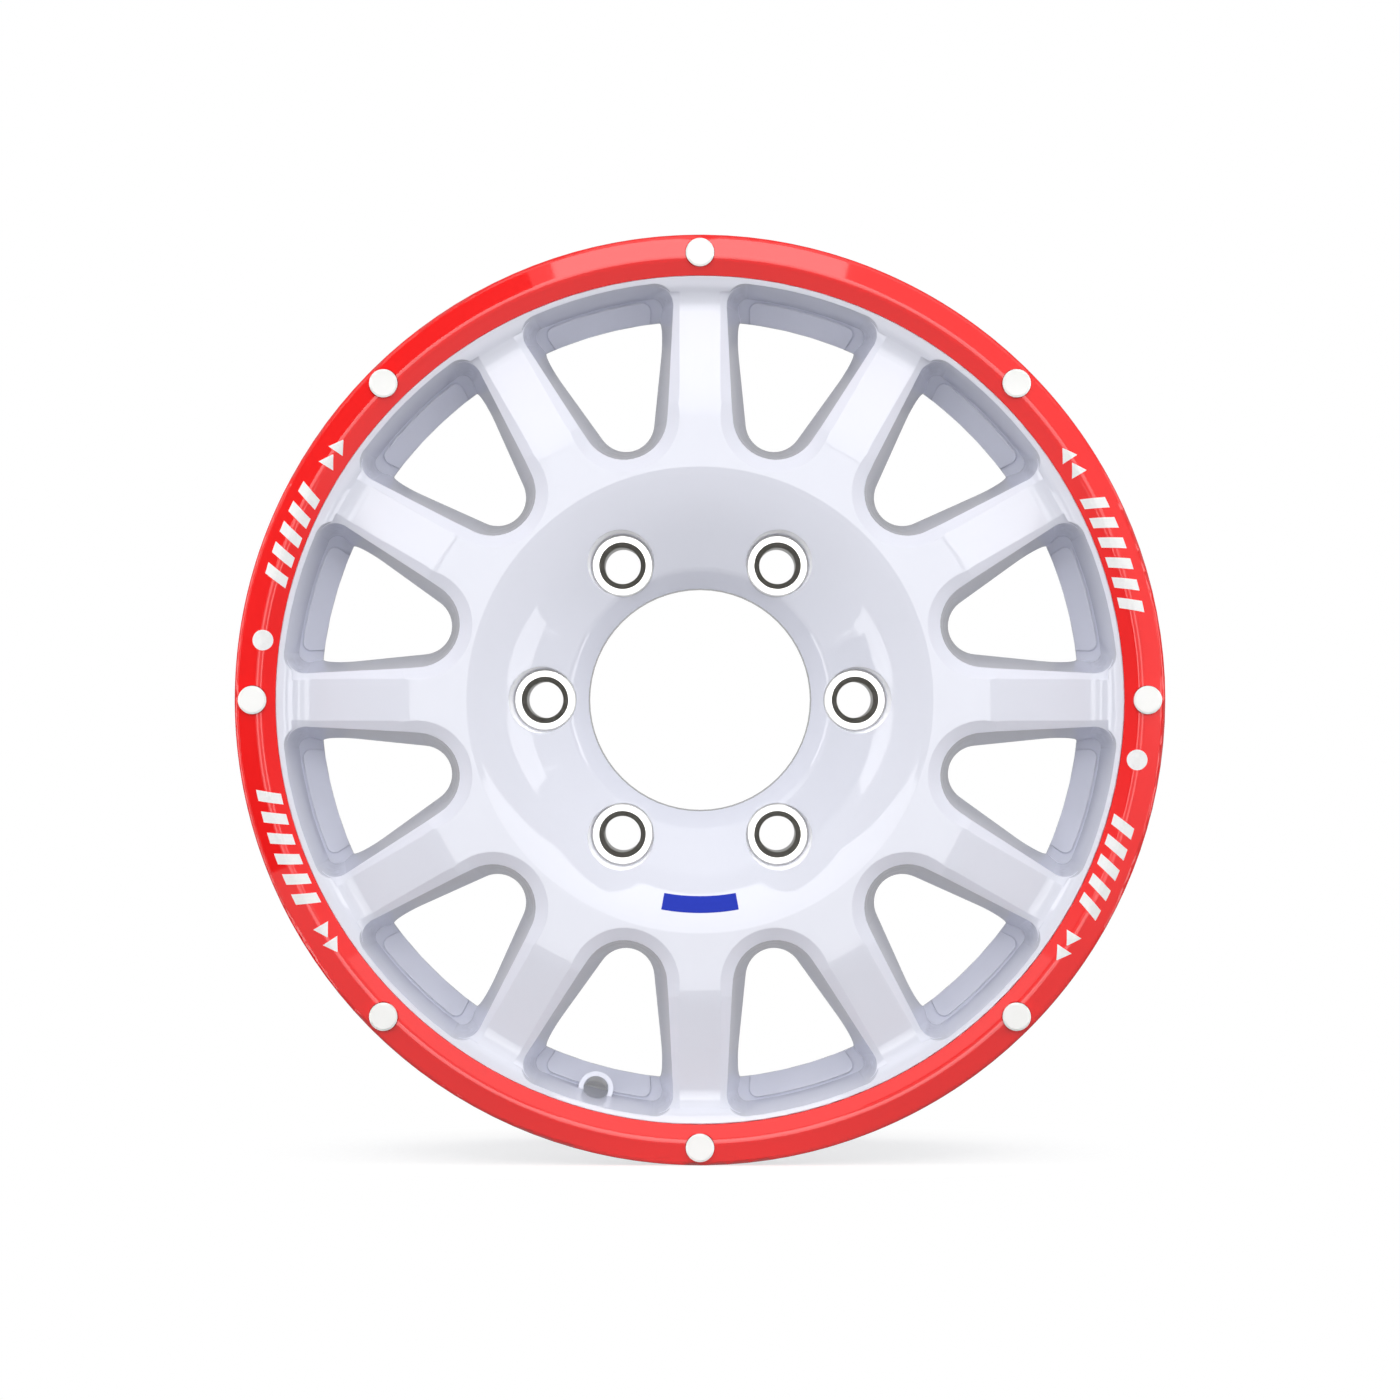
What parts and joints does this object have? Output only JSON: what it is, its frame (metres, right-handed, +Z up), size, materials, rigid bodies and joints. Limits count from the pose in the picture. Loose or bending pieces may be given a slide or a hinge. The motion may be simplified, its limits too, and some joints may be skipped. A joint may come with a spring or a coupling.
{
  "type": "beadlock wheel",
  "caption": "Cast spoked vehicle wheel with a bolted ring on its outer flange, a dished hub face with cone seated stud bushes, a centre bore and a drop centre rim.",
  "frame": {"origin": "centre of the hub mounting face, on the spin axis", "axes": "+Y along the spin axis towards the vehicle, so the front faces -Y; +Z up, through one spoke and one ring bolt"},
  "size_m": [0.417, 0.2059, 0.417],
  "materials": {
    "casting_paint": "gloss white paint over cast alloy",
    "ring_paint": "gloss red paint",
    "bolt_finish": "satin white paint on flat round bolt heads",
    "insert_steel": "plain steel, hidden behind the ring",
    "bush_steel": "bright plated steel"
  },
  "bodies": {
    "root": {"wheel_casting": "casting_paint", "beadlock_ring": "ring_paint", "ring_bolt_1": "bolt_finish", "ring_bolt_2": "bolt_finish", "ring_bolt_3": "bolt_finish", "ring_bolt_4": "bolt_finish", "ring_bolt_5": "bolt_finish", "ring_bolt_6": "bolt_finish", "ring_bolt_7": "bolt_finish", "ring_bolt_8": "bolt_finish", "ring_insert_1": "insert_steel", "ring_insert_2": "insert_steel", "ring_insert_3": "insert_steel", "ring_insert_4": "insert_steel", "ring_insert_5": "insert_steel", "ring_insert_6": "insert_steel", "ring_insert_7": "insert_steel", "ring_insert_8": "insert_steel", "lug_bush_1": "bush_steel", "lug_bush_2": "bush_steel", "lug_bush_3": "bush_steel", "lug_bush_4": "bush_steel", "lug_bush_5": "bush_steel", "lug_bush_6": "bush_steel"}
  },
  "joints": []
}
